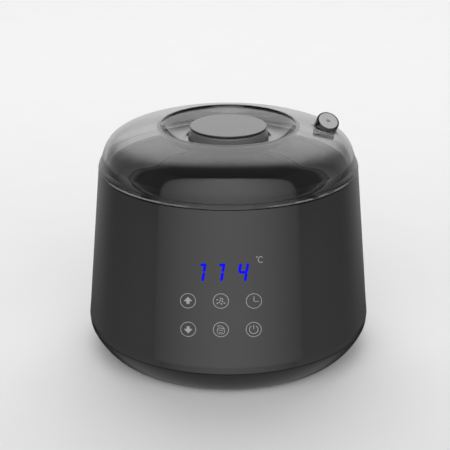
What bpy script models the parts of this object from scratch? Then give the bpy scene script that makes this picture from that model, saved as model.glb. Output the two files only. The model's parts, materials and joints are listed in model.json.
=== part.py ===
"""Wax warmer pot: a tapered round warmer with a removable pot and a clear domed lid.

The origin is on the table, under the middle of the warmer. +Z is up, and the
control panel faces -Y. Dimensions below are millimetres; meshes are in metres.
"""

import math

import bmesh
import bpy
from mathutils import Matrix, Vector

# ---------------------------------------------------------------- dimensions
MM = 0.001
GAP = 0.3  # clearance left between pieces that touch

FACETS = 40  # sides of the large round pieces
KNOB_FACETS = 32
SMALL_FACETS = 12

# Outer body
RIM_R = 77.0  # body radius at the top
RIM_Z = 112.7
WIDEST_R = 85.0
WIDEST_Z = 21.0
SEAM_Z = 16.6  # joint between the body and the base cover
SHELL_WALL = 2.6
RIM_INNER_R = 74.6
BASE_FLAT_R = 73.4
BASE_Z = 1.45
BASE_FLOOR_Z = 4.0

# Deck ring around the pot
DECK_Z = 102.0
DECK_THICK = 3.0
DECK_OUTER_R = 74.2
REBATE_R = 61.7
DECK_HOLE_R = 58.3

# Pot and heater
POT_MOUTH_R = 56.3
POT_BOTTOM_R = 53.8
POT_WALL = 1.2
POT_FLOOR_Z = 39.2
CUP_FLANGE_R = 69.0
CUP_FLANGE_Z = 96.6
HEATER_R = 46.0
HEATER_HOLE_R = 18.0
HEATER_TOP_Z = 35.8
HEATER_THICK = 4.0
SLEEVE_INNER_R = 60.3
SLEEVE_OUTER_R = 65.0

# Lid
LID_FLANGE_R = 77.15
LID_FLANGE_Z = 113.1
LID_WALL = 2.5
LID_TOP_Z = 138.3
WEB_Z = 129.3  # outer face of the flat web under the knob
KNOB_R = 22.7
KNOB_TOP_Z = 137.5

# Steam vent boss on the shoulder of the lid
VENT_FACE = Vector((58.8, 0.0, 140.3))
VENT_AXIS = Vector((0.25, -0.53, 0.81)).normalized()
VENT_R = 6.4
VENT_CORE_R = 4.3
VENT_HOLE_R = 1.4

# Feet, screws and posts
FOOT_R = 6.0
FOOT_RING_R = 60.0
SCREW_RING_R = 64.0
CUP_SCREW_ANGLES = (94.5, 211.5, 328.5)

# Control panel
PANEL_X = (-22.4, -4.2, 14.0)
PANEL_Z = (61.0, 44.2)
PANEL_BOARD_Y = -69.3

# Power board
BOARD_SIZE = (72.0, 54.0, 1.6)
BOARD_Z = 11.0
BOARD_TOP_Z = BOARD_Z + BOARD_SIZE[2]


# ------------------------------------------------------------------- helpers
def clear_scene():
    for obj in list(bpy.data.objects):
        bpy.data.objects.remove(obj)


def material(name, colour, roughness, metallic=0.0, transmission=0.0):
    made = bpy.data.materials.new(name)
    made.use_nodes = True
    shader = made.node_tree.nodes["Principled BSDF"]
    shader.inputs["Base Color"].default_value = (*colour, 1.0)
    shader.inputs["Roughness"].default_value = roughness
    shader.inputs["Metallic"].default_value = metallic
    shader.inputs["Transmission Weight"].default_value = transmission
    return made


def add_object(name, mesh_bm, finish=None, cutter=False):
    bmesh.ops.recalc_face_normals(mesh_bm, faces=mesh_bm.faces)
    mesh = bpy.data.meshes.new(name)
    mesh_bm.to_mesh(mesh)
    mesh_bm.free()
    mesh.transform(Matrix.Scale(MM, 4))
    obj = bpy.data.objects.new(name, mesh)
    bpy.context.scene.collection.objects.link(obj)
    if finish:
        mesh.materials.append(finish)
    if cutter:
        obj.hide_render = True
        obj.display_type = "WIRE"
    return obj


def revolve(profile, facets=FACETS):
    """A closed loop of (radius, height) turned about the Z axis."""
    shape = bmesh.new()
    rings = []
    for radius, height in profile:
        if radius < 1e-6:
            rings.append([shape.verts.new((0.0, 0.0, height))] * facets)
            continue
        ring = []
        for i in range(facets):
            angle = 2 * math.pi * i / facets
            ring.append(shape.verts.new((radius * math.cos(angle), radius * math.sin(angle), height)))
        rings.append(ring)
    count = len(rings)
    for i in range(count):
        low, high = rings[i], rings[(i + 1) % count]
        for j in range(facets):
            k = (j + 1) % facets
            corners = [low[j], low[k], high[k], high[j]]
            unique = list(dict.fromkeys(corners))
            if len(unique) > 2:
                shape.faces.new(unique)
    return shape


def block(size, centre, turn=0.0, bevel=0.0):
    shape = bmesh.new()
    place = Matrix.Translation(centre) @ Matrix.Rotation(turn, 4, "Z") @ Matrix.Diagonal((*size, 1.0))
    bmesh.ops.create_cube(shape, size=1.0, matrix=place)
    if bevel:
        bmesh.ops.bevel(shape, geom=list(shape.edges), offset=bevel, segments=1, affect="EDGES")
    return shape


def rod(radius, start, end, facets=SMALL_FACETS, end_radius=None):
    start, end = Vector(start), Vector(end)
    along = end - start
    shape = bmesh.new()
    turn = along.to_track_quat("Z", "Y").to_matrix().to_4x4()
    bmesh.ops.create_cone(
        shape,
        cap_ends=True,
        segments=facets,
        radius1=radius,
        radius2=radius if end_radius is None else end_radius,
        depth=along.length,
        matrix=Matrix.Translation((start + end) / 2) @ turn,
    )
    return shape


def sweep(path, section, upright=Vector((0.0, 0.0, 1.0))):
    """A section of (side, up) points carried along a path, with capped ends."""
    path = [Vector(p) for p in path]
    shape = bmesh.new()
    rings = []
    for i, point in enumerate(path):
        before = path[max(i - 1, 0)]
        after = path[min(i + 1, len(path) - 1)]
        along = (after - before).normalized()
        side = along.cross(upright)
        if side.length < 1e-3:
            side = along.cross(Vector((0.0, 1.0, 0.0)))
        side.normalize()
        up = side.cross(along).normalized()
        rings.append([shape.verts.new(point + side * a + up * b) for a, b in section])
    for low, high in zip(rings, rings[1:]):
        for j in range(len(section)):
            k = (j + 1) % len(section)
            shape.faces.new([low[j], low[k], high[k], high[j]])
    shape.faces.new(rings[0])
    shape.faces.new(list(reversed(rings[-1])))
    return shape


def round_section(radius, sides=6):
    return [
        (radius * math.cos(2 * math.pi * i / sides), radius * math.sin(2 * math.pi * i / sides))
        for i in range(sides)
    ]


def bezier(start, first, second, end, steps):
    points = []
    for i in range(steps + 1):
        t = i / steps
        weights = ((1 - t) ** 3, 3 * t * (1 - t) ** 2, 3 * t * t * (1 - t), t**3)
        points.append(
            tuple(sum(w * p[k] for w, p in zip(weights, (start, first, second, end))) for k in (0, 1))
        )
    return points


def inset(profile, distance):
    """The polyline moved to its right-hand side, for the inner face of a wall."""
    moved = []
    for i, point in enumerate(profile):
        before = profile[max(i - 1, 0)]
        after = profile[min(i + 1, len(profile) - 1)]
        dr, dz = after[0] - before[0], after[1] - before[1]
        length = math.hypot(dr, dz)
        moved.append((point[0] - distance * dz / length, point[1] + distance * dr / length))
    return moved


def boolean(obj, other, operation):
    cut = obj.modifiers.new(operation.title() + " " + other.name, "BOOLEAN")
    cut.operation = operation
    cut.solver = "EXACT"
    cut.object = other


def polar(radius, degrees, height):
    angle = math.radians(degrees)
    return Vector((radius * math.cos(angle), radius * math.sin(angle), height))


def body_radius(height):
    """Outer radius of the straight flank of the body at a height."""
    return RIM_R + (84.8 - RIM_R) * (RIM_Z - height) / (RIM_Z - 23.1)


def screw(name, head_r, shaft_r, base, head, length, finish, direction=1.0):
    """Pan head screw: base is the outer face of its head, and it points along Z."""
    x, y, z = base
    end = z + direction * (head + length)
    neck = z + direction * head
    profile = [(0.0, z), (head_r, z), (head_r, neck), (shaft_r, neck), (shaft_r, end), (0.0, end)]
    shape = revolve(profile, SMALL_FACETS)
    bmesh.ops.translate(shape, verts=shape.verts, vec=(x, y, 0.0))
    return add_object(name, shape, finish)


clear_scene()

# ----------------------------------------------------------------- materials
gloss_black = material("gloss black plastic", (0.012, 0.012, 0.013), 0.12)
deck_grey = material("satin grey plastic", (0.12, 0.12, 0.122), 0.3)
satin_black = material("satin black plastic", (0.02, 0.02, 0.02), 0.45)
smoke_clear = material("smoke clear plastic", (0.55, 0.55, 0.56), 0.03, transmission=1.0)
knob_grey = material("knob grey plastic", (0.30, 0.30, 0.31), 0.25)
rubber = material("foot rubber", (0.03, 0.03, 0.03), 0.8)
steel = material("zinc plated steel", (0.55, 0.55, 0.56), 0.35, metallic=1.0)
aluminium = material("spun aluminium", (0.75, 0.75, 0.76), 0.3, metallic=1.0)
cast = material("cast heater aluminium", (0.45, 0.45, 0.46), 0.55, metallic=1.0)
coating = material("non-stick pot coating", (0.014, 0.014, 0.015), 0.3)
wool = material("glass fibre sleeve", (0.75, 0.73, 0.66), 0.95)
board_green = material("circuit board", (0.02, 0.16, 0.07), 0.5)
part_black = material("moulded component", (0.02, 0.02, 0.022), 0.5)
part_blue = material("relay case", (0.03, 0.12, 0.35), 0.4)
part_yellow = material("transformer tape", (0.75, 0.6, 0.1), 0.5)
can_sleeve = material("capacitor sleeve", (0.05, 0.06, 0.09), 0.35)
connector = material("connector nylon", (0.8, 0.79, 0.74), 0.5)
wire_red = material("red silicone lead", (0.5, 0.02, 0.02), 0.5)
wire_white = material("white silicone lead", (0.8, 0.8, 0.78), 0.5)
wire_grey = material("grey ribbon", (0.35, 0.35, 0.36), 0.5)
spring_steel = material("spring steel", (0.6, 0.58, 0.5), 0.3, metallic=1.0)
brass = material("plated brass", (0.7, 0.55, 0.28), 0.3, metallic=1.0)

# ---------------------------------------------------------------- body shell
# A tapered tube. Its rim carries the lid, an inner ledge carries the deck
# ring, and four posts near the bottom take the base screws.
flank = [
    (RIM_INNER_R + 0.4, RIM_Z),
    (RIM_R - 0.5, RIM_Z),
    (RIM_R, RIM_Z - 0.6),
    (body_radius(68.0), 68.0),
    (body_radius(26.0), 26.0),
    (WIDEST_R, WIDEST_Z),
    (84.8, SEAM_Z + 0.15),
]
inner_wall = [
    (84.8 - SHELL_WALL, SEAM_Z + 0.15),
    (body_radius(24.0) - SHELL_WALL, 24.0),
    (body_radius(96.0) - SHELL_WALL, 95.0),
    (71.6, 96.6),
    (71.6, DECK_Z - DECK_THICK - GAP),
    (RIM_INNER_R, DECK_Z - DECK_THICK - GAP),
    (RIM_INNER_R, RIM_Z - 0.4),
]
body_shell = add_object("body_shell", revolve(flank + inner_wall), gloss_black)
for number, angle in enumerate((45, 135, 225, 315), 1):
    post = add_object(
        f"cut_post_{number}",
        rod(4.2, polar(SCREW_RING_R, angle, BASE_FLOOR_Z + 0.4), polar(SCREW_RING_R, angle, 34.0)),
        cutter=True,
    )
    rib = add_object(
        f"cut_rib_{number}",
        block((20.0, 2.4, 12.0), polar(SCREW_RING_R + 9.0, angle, 28.0), math.radians(angle)),
        cutter=True,
    )
    bore = add_object(
        f"cut_bore_{number}",
        rod(1.85, polar(SCREW_RING_R, angle, 0.0), polar(SCREW_RING_R, angle, 17.0)),
        cutter=True,
    )
    boolean(post, rib, "UNION")
    boolean(post, bore, "DIFFERENCE")
    boolean(body_shell, post, "UNION")
inlet_window = add_object("cut_inlet_window", block((22.8, 20.0, 13.8), (0.0, 84.0, 31.0)), cutter=True)
boolean(body_shell, inlet_window, "DIFFERENCE")

# ---------------------------------------------------------------- base cover
# A shallow dish with a rounded outer edge. Its upright lip sits inside the
# body; four pillars carry the power board.
base_outer = [
    (84.6, SEAM_Z - 0.15),
    (84.1, 14.6),
    (82.3, 11.2),
    (79.9, 7.6),
    (77.2, 4.5),
    (74.9, 2.3),
    (BASE_FLAT_R, BASE_Z),
    (0.0, BASE_Z),
]
base_inner = [
    (0.0, BASE_FLOOR_Z),
    (72.6, BASE_FLOOR_Z),
    (76.6, 8.6),
    (79.2, 13.4),
    (79.4, 19.2),
    (81.6, 19.2),
    (81.8, SEAM_Z - 0.15),
]
base_cover = add_object("base_cover", revolve(base_outer + base_inner), satin_black)
for number, (x, y) in enumerate(((-31, -23), (31, -23), (31, 21), (-31, 21)), 1):
    pillar = add_object(
        f"cut_pillar_{number}",
        rod(3.2, (x, y, BASE_FLOOR_Z - 0.6), (x, y, BOARD_Z - GAP)),
        cutter=True,
    )
    pillar_bore = add_object(
        f"cut_pillar_bore_{number}",
        rod(1.5, (x, y, BASE_FLOOR_Z + 0.4), (x, y, 20.0)),
        cutter=True,
    )
    boolean(base_cover, pillar, "UNION")
    boolean(base_cover, pillar_bore, "DIFFERENCE")
for number, angle in enumerate((45, 135, 225, 315), 1):
    screw_hole = add_object(
        f"cut_screw_hole_{number}",
        rod(1.9, polar(SCREW_RING_R, angle, 0.0), polar(SCREW_RING_R, angle, 5.0)),
        cutter=True,
    )
    counterbore = add_object(
        f"cut_counterbore_{number}",
        rod(3.5, polar(SCREW_RING_R, angle, 0.0), polar(SCREW_RING_R, angle, 3.0)),
        cutter=True,
    )
    boolean(screw_hole, counterbore, "UNION")
    boolean(base_cover, screw_hole, "DIFFERENCE")
for number, angle in enumerate((0, 90, 180, 270), 1):
    pocket = add_object(
        f"cut_foot_pocket_{number}",
        rod(FOOT_R + 0.4, polar(FOOT_RING_R, angle, 0.0), polar(FOOT_RING_R, angle, 2.6), 20),
        cutter=True,
    )
    boolean(base_cover, pocket, "DIFFERENCE")
    foot = revolve(
        [(0.0, 0.0), (FOOT_R - 0.5, 0.0), (FOOT_R, 0.5), (FOOT_R, 2.3), (0.0, 2.3)],
        20,
    )
    bmesh.ops.translate(foot, verts=foot.verts, vec=polar(FOOT_RING_R, angle, 0.0))
    add_object(f"foot_{number}", foot, rubber)
for number in range(5):
    slot = add_object(
        f"cut_base_slot_{number + 1}",
        block((30.0, 3.0, 6.0), (0.0, -16.0 + 8.0 * number, 2.0)),
        cutter=True,
    )
    boolean(base_cover, slot, "DIFFERENCE")
for number, angle in enumerate((45, 135, 225, 315), 1):
    x, y, z = polar(SCREW_RING_R, angle, 1.6)
    screw(f"base_screw_{number}", 3.1, 1.5, (x, y, z), 1.1, 12.0, steel)

# ----------------------------------------------------------------- deck ring
deck_profile = [
    (DECK_OUTER_R, DECK_Z),
    (REBATE_R, DECK_Z),
    (REBATE_R, DECK_Z - 2.0),
    (DECK_HOLE_R, DECK_Z - 2.0),
    (DECK_HOLE_R, DECK_Z - 5.0),
    (60.3, DECK_Z - 5.0),
    (60.3, DECK_Z - DECK_THICK),
    (DECK_OUTER_R, DECK_Z - DECK_THICK),
]
deck_ring = add_object("deck_ring", revolve(deck_profile), deck_grey)
for number, angle in enumerate(CUP_SCREW_ANGLES, 1):
    lug = add_object(
        f"cut_lug_{number}",
        rod(3.0, polar(65.6, angle, CUP_FLANGE_Z + GAP), polar(65.6, angle, DECK_Z - 2.0)),
        cutter=True,
    )
    lug_bore = add_object(
        f"cut_lug_bore_{number}",
        rod(1.5, polar(65.6, angle, 90.0), polar(65.6, angle, DECK_Z - 1.0)),
        cutter=True,
    )
    boolean(deck_ring, lug, "UNION")
    boolean(deck_ring, lug_bore, "DIFFERENCE")

# -------------------------------------------------- heater cup and its fixings
cup_profile = [
    (0.0, 37.6),
    (51.4, 37.6),
    (54.6, 38.9),
    (55.6, 42.0),
    (58.0, CUP_FLANGE_Z),
    (CUP_FLANGE_R, CUP_FLANGE_Z),
    (CUP_FLANGE_R, CUP_FLANGE_Z - 1.4),
    (59.5, CUP_FLANGE_Z - 1.4),
    (57.1, 41.6),
    (55.6, 37.5),
    (52.0, 36.1),
    (0.0, 36.1),
]
heater_cup = add_object("heater_cup", revolve(cup_profile), aluminium)
for number, angle in enumerate(CUP_SCREW_ANGLES, 1):
    flange_hole = add_object(
        f"cut_flange_hole_{number}",
        rod(1.5, polar(65.6, angle, 94.0), polar(65.6, angle, 98.0)),
        cutter=True,
    )
    boolean(heater_cup, flange_hole, "DIFFERENCE")
    x, y, z = polar(65.6, angle, 92.9)
    screw(f"cup_screw_{number}", 2.7, 1.15, (x, y, z), 2.0, 5.4, steel)

plate_low = HEATER_TOP_Z - HEATER_THICK
heater_profile = [
    (HEATER_HOLE_R, plate_low + 0.4),
    (HEATER_HOLE_R, HEATER_TOP_Z),
    (HEATER_R, HEATER_TOP_Z),
    (HEATER_R, plate_low + 0.6),
    (HEATER_R - 0.8, plate_low),
    (HEATER_HOLE_R + 0.6, plate_low),
]
add_object("heating_plate", revolve(heater_profile, 32), cast)

sleeve_profile = [
    (SLEEVE_INNER_R, 44.0),
    (SLEEVE_OUTER_R, 44.0),
    (SLEEVE_OUTER_R, 92.2),
    (SLEEVE_INNER_R, 92.2),
]
add_object("insulation_sleeve", revolve(sleeve_profile), wool)

cutoff_profile = [
    (0.0, 35.8),
    (8.0, 35.8),
    (8.0, 34.8),
    (7.2, 34.6),
    (7.2, 29.2),
    (0.0, 29.2),
]
add_object("thermal_cutoff", revolve(cutoff_profile, 20), part_black)
add_object(
    "temperature_sensor",
    rod(1.5, polar(60.4, 160, 37.8), polar(60.4, 160, 43.4)),
    steel,
)

# ---------------------------------------------------------------- power board
board_shape = block(BOARD_SIZE, (0.0, -1.0, BOARD_Z + BOARD_SIZE[2] / 2))
power_board = add_object("power_board", board_shape, board_green)
for number, (x, y) in enumerate(((-31, -23), (31, -23), (31, 21), (-31, 21)), 1):
    board_hole = add_object(f"cut_board_hole_{number}", rod(1.6, (x, y, 5.0), (x, y, 20.0)), cutter=True)
    boolean(power_board, board_hole, "DIFFERENCE")
    screw(
        f"board_screw_{number}",
        2.6,
        1.15,
        (x, y, BOARD_TOP_Z + GAP + 1.6),
        1.6,
        6.0,
        steel,
        direction=-1.0,
    )
on_board = BOARD_TOP_Z + GAP
add_object(
    "transformer",
    block((24.0, 20.0, 15.0), (-10.0, -10.0, on_board + 7.5), bevel=1.2),
    part_yellow,
)
add_object("relay", block((19.0, 15.0, 15.0), (13.6, -12.0, on_board + 7.5), bevel=0.6), part_blue)
capacitor_profile = [
    (0.0, on_board),
    (5.0, on_board),
    (5.0, on_board + 13.4),
    (4.4, on_board + 14.0),
    (0.0, on_board + 14.0),
]
capacitor = revolve(capacitor_profile, 16)
bmesh.ops.translate(capacitor, verts=capacitor.verts, vec=(-9.0, 10.0, 0.0))
add_object("capacitor", capacitor, can_sleeve)
add_object("mains_terminal", block((16.0, 8.0, 9.0), (10.0, 17.0, on_board + 4.5), bevel=0.5), connector)
add_object("heater_terminal", block((8.0, 16.0, 9.0), (28.0, 3.0, on_board + 4.5), bevel=0.5), connector)

# ------------------------------------------------------------------ AC inlet
# A two-pin socket let into the back of the body.
ac_inlet = add_object("ac_inlet", block((22.0, 20.5, 13.0), (0.0, 72.25, 31.0), bevel=0.5), satin_black)
well = add_object(
    "cut_inlet_well",
    rod(4.1, (-4.3, 68.0, 31.0), (-4.3, 90.0, 31.0), 20),
    cutter=True,
)
well_right = add_object(
    "cut_inlet_well_right",
    rod(4.1, (4.3, 68.0, 31.0), (4.3, 90.0, 31.0), 20),
    cutter=True,
)
well_middle = add_object("cut_inlet_well_middle", block((8.0, 22.0, 6.6), (0.0, 79.0, 31.0)), cutter=True)
boolean(ac_inlet, well, "DIFFERENCE")
boolean(ac_inlet, well_right, "DIFFERENCE")
boolean(ac_inlet, well_middle, "DIFFERENCE")
for number, x in enumerate((-4.3, 4.3), 1):
    add_object(f"inlet_pin_{number}", rod(1.2, (x, 68.3, 31.0), (x, 79.0, 31.0)), brass)

# -------------------------------------------------------------- control panel
# The panel is printed on the flush front of the body. Behind it stand the
# control board, the three-digit display and one coil spring for each touch key.
add_object("control_board", block((56.0, 1.6, 50.0), (-4.0, PANEL_BOARD_Y + 0.8, 62.5)), board_green)
add_object(
    "display_module",
    block((36.0, 4.2, 14.0), (0.0, PANEL_BOARD_Y - GAP - 2.1, 77.8), bevel=0.3),
    part_black,
)
spring_number = 0
for z in PANEL_Z:
    for x in PANEL_X:
        spring_number += 1
        reach = math.sqrt((body_radius(z + 3.5) - SHELL_WALL - 0.6) ** 2 - (abs(x) + 3.0) ** 2)
        start = PANEL_BOARD_Y - GAP - 0.4
        length = reach + start - 0.5
        path = []
        for i in range(31):
            turn = 2 * math.pi * i / 10
            path.append(
                Vector((x + 2.5 * math.cos(turn), start - length * i / 30, z + 2.5 * math.sin(turn)))
            )
        coil = sweep(path, round_section(0.35, 5), upright=Vector((0.0, 1.0, 0.0)))
        add_object(f"touch_spring_{spring_number}", coil, spring_steel)

# --------------------------------------------------------------------- leads
add_object(
    "ribbon_cable",
    sweep(
        [(-4, -24.5, 13.4), (-4, -31, 13.6), (-4, -52, 15), (-4, -62, 20), (-4, -66.4, 29), (-4, -66.9, 42)],
        [(-6, -0.35), (6, -0.35), (6, 0.35), (-6, 0.35)],
        upright=Vector((0.0, 0.3, 1.0)),
    ),
    wire_grey,
)
for number, y in enumerate((-1.0, 7.0), 1):
    add_object(
        f"heater_lead_{number}",
        sweep(
            [(32.8, y, 17.0), (36.0, y, 17.2), (39.5, y, 20.0), (40.0, y, 25.0), (40.0, y, 31.4)],
            round_section(1.2),
            upright=Vector((0.0, 1.0, 0.0)),
        ),
        wire_red,
    )
for number, x in enumerate((6.0, 14.0), 1):
    add_object(
        f"mains_lead_{number}",
        sweep(
            [
                (x, 21.6, 17.0),
                (x, 30.0, 17.6),
                (x * 0.8, 42.0, 23.0),
                (x * 0.6, 53.0, 29.5),
                (x * 0.5, 61.5, 31.0),
            ],
            round_section(1.2),
            upright=Vector((1.0, 0.0, 0.0)),
        ),
        wire_white,
    )
sensor_end = polar(60.4, 160, 37.2)
add_object(
    "sensor_lead",
    sweep(
        [
            (-33.0, 8.0, 13.8),
            (-40.0, 10.0, 15.0),
            (-50.0, 16.0, 20.0),
            (sensor_end.x, sensor_end.y, 28.0),
            sensor_end,
        ],
        round_section(0.9),
        upright=Vector((0.3, 1.0, 0.0)),
    ),
    wire_white,
)

# ----------------------------------------------------------------- inner pot
pot_outer_bottom = POT_BOTTOM_R + POT_WALL
pot_profile = [
    (0.0, POT_FLOOR_Z),
    (50.6, POT_FLOOR_Z),
    (52.9, 40.1),
    (POT_BOTTOM_R, 42.2),
    (POT_MOUTH_R, 101.0),
    (56.8, 102.3),
    (57.8, 102.7),
    (60.3, 102.6),
    (61.2, 101.7),
    (60.9, 100.5),
    (58.1, 100.35),
    (POT_MOUTH_R + POT_WALL - 0.02, 99.4),
    (pot_outer_bottom, 41.9),
    (53.8, 39.1),
    (51.0, 38.0),
    (0.0, 38.0),
]
add_object("inner_pot", revolve(pot_profile), coating)

# ----------------------------------------------------------------------- lid
# Clear domed shell. The middle is sunk to a flat web that carries the knob.
dome = bezier((75.35, 116.1), (70.9, 131.4), (70.0, 131.5), (42.0, 138.0), 9)
lip = [(40.9, LID_TOP_Z), (40.0, 138.1), (39.2, 137.3)]
recess = [(36.6, 134.0), (32.5, 131.2), (27.5, 129.7), (24.5, WEB_Z)]
outer_face = dome + lip + recess
inner_face = inset(outer_face, LID_WALL)
inner_face[0] = (72.3, 115.6)
flange = [
    (0.0, WEB_Z - LID_WALL),
    *reversed(inner_face),
    (71.9, 113.0),
    (71.9, 109.8),
    (73.9, 109.8),
    (73.9, LID_FLANGE_Z),
    (LID_FLANGE_R - 0.3, LID_FLANGE_Z),
    (LID_FLANGE_R, LID_FLANGE_Z + 0.3),
    (LID_FLANGE_R, 115.4),
    (76.6, 116.0),
]
lid_dome = add_object("lid_dome", revolve(flange + outer_face + [(0.0, WEB_Z)]), smoke_clear)

inside_volume = add_object(
    "cut_inside_volume",
    revolve([(0.0, 109.0), (71.9, 109.0), *inner_face, (0.0, WEB_Z - LID_WALL)]),
    cutter=True,
)
vent_boss = add_object(
    "cut_vent_boss",
    rod(VENT_R + 0.9, VENT_FACE - VENT_AXIS * 13.5, VENT_FACE, 20, end_radius=VENT_R),
    cutter=True,
)
vent_core = add_object(
    "cut_vent_core",
    rod(VENT_CORE_R, VENT_FACE - VENT_AXIS * 22.0, VENT_FACE - VENT_AXIS * 2.2, 16),
    cutter=True,
)
vent_hole = add_object(
    "cut_vent_hole",
    rod(VENT_HOLE_R, VENT_FACE - VENT_AXIS * 5.0, VENT_FACE + VENT_AXIS * 3.0, 12),
    cutter=True,
)
knob_screw_hole = add_object("cut_knob_screw_hole", rod(2.1, (0, 0, 120), (0, 0, 135)), cutter=True)
boolean(vent_boss, inside_volume, "DIFFERENCE")
boolean(lid_dome, vent_boss, "UNION")
boolean(lid_dome, vent_core, "DIFFERENCE")
boolean(lid_dome, vent_hole, "DIFFERENCE")
boolean(lid_dome, knob_screw_hole, "DIFFERENCE")

knob_profile = [
    (0.0, 134.9),
    (21.6, 134.9),
    (23.0, 134.5),
    (23.3, 133.8),
    (23.8, WEB_Z + GAP),
    (21.8, WEB_Z + GAP),
    (21.2, 132.4),
    (4.6, 132.4),
    (4.6, WEB_Z + GAP),
    (2.0, WEB_Z + GAP),
    (2.0, 133.4),
    (0.0, 133.4),
]
add_object("lid_knob", revolve(knob_profile, KNOB_FACETS), knob_grey)
cap_profile = [
    (0.0, 135.2),
    (21.9, 135.2),
    (22.5, 135.6),
    (KNOB_R, 136.3),
    (22.4, 137.2),
    (21.8, KNOB_TOP_Z),
    (0.0, KNOB_TOP_Z),
]
add_object("knob_cap", revolve(cap_profile, KNOB_FACETS), knob_grey)
screw("knob_screw", 3.6, 1.7, (0.0, 0.0, 124.6), 1.9, 6.4, steel)
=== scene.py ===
# %% [markdown]
# # Wax warmer pot
# A salon wax warmer: a black tapered body with a touch panel, a lift-out pot
# in a heated cup, and a smoke-tinted clear lid with a knob sunk in its middle.
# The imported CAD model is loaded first. It fixes every size and joint, and the
# visible skins below are built round it.

# %% Load the frame
import json
import math

import bmesh
import bpy
from mathutils import Matrix, Vector


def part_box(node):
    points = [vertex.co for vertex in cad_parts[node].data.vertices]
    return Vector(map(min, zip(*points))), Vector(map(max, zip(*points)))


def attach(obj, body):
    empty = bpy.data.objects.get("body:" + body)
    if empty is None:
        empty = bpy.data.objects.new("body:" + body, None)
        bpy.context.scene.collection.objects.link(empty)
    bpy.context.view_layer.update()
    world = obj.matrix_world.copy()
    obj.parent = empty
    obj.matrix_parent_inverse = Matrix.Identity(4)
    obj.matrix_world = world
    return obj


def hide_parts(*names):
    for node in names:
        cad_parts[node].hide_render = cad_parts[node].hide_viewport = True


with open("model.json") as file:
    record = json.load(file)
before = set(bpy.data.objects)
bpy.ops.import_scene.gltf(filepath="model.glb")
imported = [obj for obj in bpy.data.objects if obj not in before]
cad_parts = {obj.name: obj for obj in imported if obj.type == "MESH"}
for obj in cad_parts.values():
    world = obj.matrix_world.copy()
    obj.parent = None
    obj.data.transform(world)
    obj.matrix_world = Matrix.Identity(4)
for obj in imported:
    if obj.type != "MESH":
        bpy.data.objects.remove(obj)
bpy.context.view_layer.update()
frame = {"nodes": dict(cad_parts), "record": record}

nodes = frame["nodes"]
MM = 0.001

# %% [markdown]
# ## Reading sizes from the CAD
# Almost everything on this object is turned about one upright axis. So the
# only sizes that are needed from a node are its outer radius and the heights
# of its top and bottom, all in millimetres.


# %% Turned sizes
def turned_size(node):
    low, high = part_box(node)
    return high[0] / MM, low[2] / MM, high[2] / MM


body_r, body_low, body_high = turned_size("body_shell")
base_r, base_low, base_high = turned_size("base_cover")
deck_r, deck_low, deck_high = turned_size("deck_ring")
pot_r, pot_low, pot_high = turned_size("inner_pot")
cup_r, cup_low, cup_high = turned_size("heater_cup")
knob_r, knob_low, knob_high = turned_size("lid_knob")
cap_r, cap_low, cap_high = turned_size("knob_cap")
lid_r, lid_low, _ = turned_size("lid_dome")
print("body", body_r, body_low, body_high, "lid", lid_r, lid_low)

# %% [markdown]
# ## Shader maths as Python
# A material reads better as an expression than as a list of links. `Value`
# wraps one socket, so `noise * 0.1 + 0.2` adds the Math nodes by itself, and
# `Finish.node` is the one way in which every other node is made.


# %% Value and Finish
class Value:
    """One socket of a shader, which can be used in sums."""

    def __init__(self, finish, socket):
        self.finish = finish
        self.socket = socket

    def maths(self, operation, first, second):
        return self.finish.node("ShaderNodeMath", {"operation": operation}, {0: first, 1: second})

    def __add__(self, other):
        return self.maths("ADD", self, other)

    __radd__ = __add__

    def __mul__(self, other):
        return self.maths("MULTIPLY", self, other)

    __rmul__ = __mul__

    def __sub__(self, other):
        return self.maths("SUBTRACT", self, other)

    def __rsub__(self, other):
        return self.maths("SUBTRACT", other, self)

    def __truediv__(self, other):
        return self.maths("DIVIDE", self, other)

    def __rtruediv__(self, other):
        return self.maths("DIVIDE", other, self)

    def __pow__(self, other):
        return self.maths("POWER", self, other)

    def __abs__(self):
        return self.maths("ABSOLUTE", self, 0.0)

    def at_least(self, other):
        return self.maths("MAXIMUM", self, other)


class Finish:
    """A node tree: a material's, or the world's."""

    def __init__(self, name, world=False):
        store = bpy.data.worlds if world else bpy.data.materials
        self.data = store.new(name)
        self.data.use_nodes = True
        self.tree = self.data.node_tree
        self.tree.nodes.clear()
        kind = "ShaderNodeOutputWorld" if world else "ShaderNodeOutputMaterial"
        self.output = self.tree.nodes.new(kind)

    def node(self, kind, settings=None, inputs=None, output=0):
        made = self.tree.nodes.new(kind)
        for key, value in (settings or {}).items():
            if key == "stops":
                ramp = made.color_ramp.elements
                while len(ramp) < len(value):
                    ramp.new(0.5)
                for stop, (place, shade) in zip(ramp, value):
                    stop.position = place
                    stop.color = (*shade, 1.0)
            else:
                setattr(made, key, value)
        for key, value in (inputs or {}).items():
            if isinstance(value, Value):
                self.tree.links.new(value.socket, made.inputs[key])
            else:
                made.inputs[key].default_value = value
        return Value(self, made.outputs[output])

    def surface(self, shader):
        self.tree.links.new(shader.socket, self.output.inputs["Surface"])
        return self.data

    def volume(self, shader):
        self.tree.links.new(shader.socket, self.output.inputs["Volume"])
        return self.data

    @classmethod
    def of(cls, material):
        """The tree of a material that is already made, to add to it."""
        finish = cls.__new__(cls)
        finish.data, finish.tree = material, material.node_tree
        finish.output = next(n for n in finish.tree.nodes if n.type == "OUTPUT_MATERIAL")
        return finish


print("shader tools ready")

# %% [markdown]
# ## What the plastics and metals share
# Real moulded and spun parts are never perfectly even. Each finish has a base
# colour that drifts slightly, a roughness that changes with handling, and a
# very fine bump. The texture runs on object coordinates, so it stays put on
# the piece in every pose.


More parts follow.
